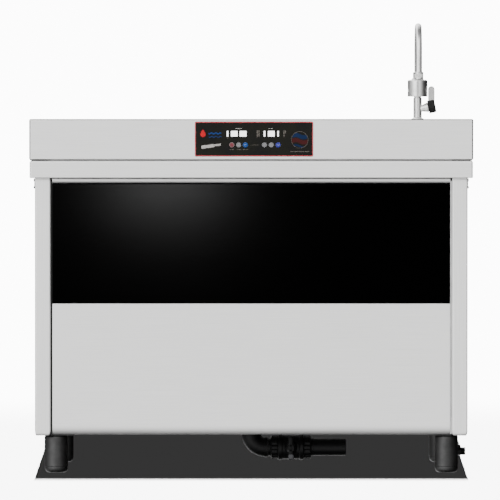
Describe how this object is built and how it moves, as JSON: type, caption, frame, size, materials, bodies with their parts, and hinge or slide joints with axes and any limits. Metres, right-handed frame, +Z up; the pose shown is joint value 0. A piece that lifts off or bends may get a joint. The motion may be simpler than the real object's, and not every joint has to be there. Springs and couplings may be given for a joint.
{
  "type": "ultrasonic cleaning bench",
  "caption": "Stainless steel ultrasonic cleaning bench with a sunk tank and lift-out basket, swivel filling tap, front control panel, drain valve below and adjustable bullet feet.",
  "frame": {"origin": "on the floor, below the middle of the bench", "axes": "+X to the right seen from the front, +Y to the back, +Z up; the control panel faces -Y"},
  "size_m": [1.128, 0.7088, 1.15],
  "materials": {
    "brushed_stainless": "satin brushed sheet",
    "foot_steel": "turned, dull",
    "gloss_black_enamel": "glossy black enamel",
    "polished_tank_steel": "smooth pickled sheet",
    "rubber_black": "matt",
    "foam_insulation": "closed cell foam",
    "silicone_heater": "moulded silicone",
    "transducer_aluminium": "turned",
    "generator_paint": "powder coat",
    "circuit_board": "solder mask",
    "black_plastic": "moulded",
    "isolator_red": "moulded",
    "control_overlay": "printed polyester overlay",
    "display_white": "clear window over a pale display",
    "button_red": "domed key",
    "button_grey": "domed key",
    "button_blue": "domed key",
    "drain_plastic": "moulded PVC",
    "tap_steel": "satin turned and bent tube",
    "zinc_screw": "plated"
  },
  "bodies": {
    "bench": {"corner_posts": "brushed_stainless", "frame_rails": "brushed_stainless", "lower_front_panel": "brushed_stainless", "front_trim_strip": "brushed_stainless", "side_panels": "brushed_stainless", "rear_panel": "brushed_stainless", "apron_ring": "brushed_stainless", "deck": "brushed_stainless", "base_plate": "brushed_stainless", "leg_sleeves": "foot_steel", "black_front_panel": "gloss_black_enamel", "tank": "polished_tank_steel", "drain_fitting": "polished_tank_steel", "drain_strainer": "polished_tank_steel", "temperature_probe": "polished_tank_steel", "deck_gasket": "rubber_black", "tank_insulation": "foam_insulation", "heater_pads": "silicone_heater", "transducers": "transducer_aluminium", "generator_case": "generator_paint", "generator_cover": "generator_paint", "generator_board": "circuit_board", "control_board": "circuit_board", "fan_frame": "black_plastic", "cable_gland": "black_plastic", "isolator_body": "black_plastic", "inlet_coupling": "black_plastic", "control_panel": "control_overlay", "display_windows": "display_white", "drain_elbow": "drain_plastic", "drain_drop_pipe": "drain_plastic", "drain_union_nuts": "drain_plastic", "drain_valve_body": "drain_plastic", "drain_outlet_pipe": "drain_plastic", "tap_pillar": "tap_steel", "tap_barrel": "tap_steel", "tap_shank_nut": "tap_steel", "supply_pipe": "tap_steel", "rear_panel_screws": "zinc_screw"},
    "foot_front_left": {"bullet_foot_front_left": "foot_steel"},
    "foot_front_right": {"bullet_foot_front_right": "foot_steel"},
    "foot_rear_left": {"bullet_foot_rear_left": "foot_steel"},
    "foot_rear_right": {"bullet_foot_rear_right": "foot_steel"},
    "latch_left": {"latch_lever_left": "black_plastic"},
    "latch_right": {"latch_lever_right": "black_plastic"},
    "fan": {"fan_rotor": "black_plastic"},
    "drain_valve": {"drain_valve_ball": "drain_plastic", "drain_valve_handle": "drain_plastic"},
    "spout": {"tap_gooseneck": "tap_steel", "tap_aerator": "tap_steel"},
    "tap_handle": {"tap_lever_cap": "black_plastic", "tap_lever": "tap_steel"},
    "isolator": {"isolator_knob": "isolator_red"},
    "basket_body": {"basket": "polished_tank_steel"},
    "key_heat_stop": {"button_heat_stop": "button_red"},
    "key_heat_up": {"button_heat_up": "button_grey"},
    "key_heat_start": {"button_heat_start": "button_blue"},
    "key_timer_down": {"button_timer_down": "button_grey"},
    "key_timer_up": {"button_timer_up": "button_grey"},
    "key_timer_start": {"button_timer_start": "button_blue"}
  },
  "joints": [
    {"name": "foot_level_front_left", "type": "slide", "parent": "bench", "child": "foot_front_left", "axis": [0, 0, -1], "range_m": [0, 0.025]},
    {"name": "foot_level_front_right", "type": "slide", "parent": "bench", "child": "foot_front_right", "axis": [0, 0, -1], "range_m": [0, 0.025]},
    {"name": "foot_level_rear_left", "type": "slide", "parent": "bench", "child": "foot_rear_left", "axis": [0, 0, -1], "range_m": [0, 0.025]},
    {"name": "foot_level_rear_right", "type": "slide", "parent": "bench", "child": "foot_rear_right", "axis": [0, 0, -1], "range_m": [0, 0.025]},
    {"name": "latch_left_swing", "type": "hinge", "parent": "bench", "child": "latch_left", "pos_m": [-0.554, -0.2, 0.744], "axis": [0, 1, 0], "range_deg": [0, 60]},
    {"name": "latch_right_swing", "type": "hinge", "parent": "bench", "child": "latch_right", "pos_m": [0.554, -0.2, 0.744], "axis": [0, -1, 0], "range_deg": [0, 60]},
    {"name": "fan_spin", "type": "hinge", "parent": "bench", "child": "fan", "pos_m": [-0.3, 0.182, 0.203], "axis": [0, 1, 0], "continuous": true},
    {"name": "drain_valve_turn", "type": "hinge", "parent": "bench", "child": "drain_valve", "pos_m": [0.1015, -0.15, 0.058], "axis": [0, -1, 0], "range_deg": [0, 90]},
    {"name": "spout_swivel", "type": "hinge", "parent": "bench", "child": "spout", "pos_m": [0.435, 0.2, 1], "axis": [0, 0, 1], "range_deg": [-110, 110]},
    {"name": "tap_lever_turn", "type": "hinge", "parent": "bench", "child": "tap_handle", "pos_m": [0.46239, 0.2, 0.93132], "axis": [0.9781, 0, 0.2079], "range_deg": [0, 90]},
    {"name": "isolator_turn", "type": "hinge", "parent": "bench", "child": "isolator", "pos_m": [-0.34, 0.34, 0.25], "axis": [0, 1, 0], "range_deg": [0, 90]},
    {"name": "basket_lift", "type": "slide", "parent": "bench", "child": "basket_body", "axis": [0, 0, 1], "range_m": [0, 0.35]},
    {"name": "press_heat_stop", "type": "slide", "parent": "bench", "child": "key_heat_stop", "axis": [0, 1, 0], "range_m": [0, 0.0015], "stiffness_N_per_m": 400, "springref_m": -0.0005},
    {"name": "press_heat_up", "type": "slide", "parent": "bench", "child": "key_heat_up", "axis": [0, 1, 0], "range_m": [0, 0.0015], "stiffness_N_per_m": 400, "springref_m": -0.0005},
    {"name": "press_heat_start", "type": "slide", "parent": "bench", "child": "key_heat_start", "axis": [0, 1, 0], "range_m": [0, 0.0015], "stiffness_N_per_m": 400, "springref_m": -0.0005},
    {"name": "press_timer_down", "type": "slide", "parent": "bench", "child": "key_timer_down", "axis": [0, 1, 0], "range_m": [0, 0.0015], "stiffness_N_per_m": 400, "springref_m": -0.0005},
    {"name": "press_timer_up", "type": "slide", "parent": "bench", "child": "key_timer_up", "axis": [0, 1, 0], "range_m": [0, 0.0015], "stiffness_N_per_m": 400, "springref_m": -0.0005},
    {"name": "press_timer_start", "type": "slide", "parent": "bench", "child": "key_timer_start", "axis": [0, 1, 0], "range_m": [0, 0.0015], "stiffness_N_per_m": 400, "springref_m": -0.0005}
  ]
}
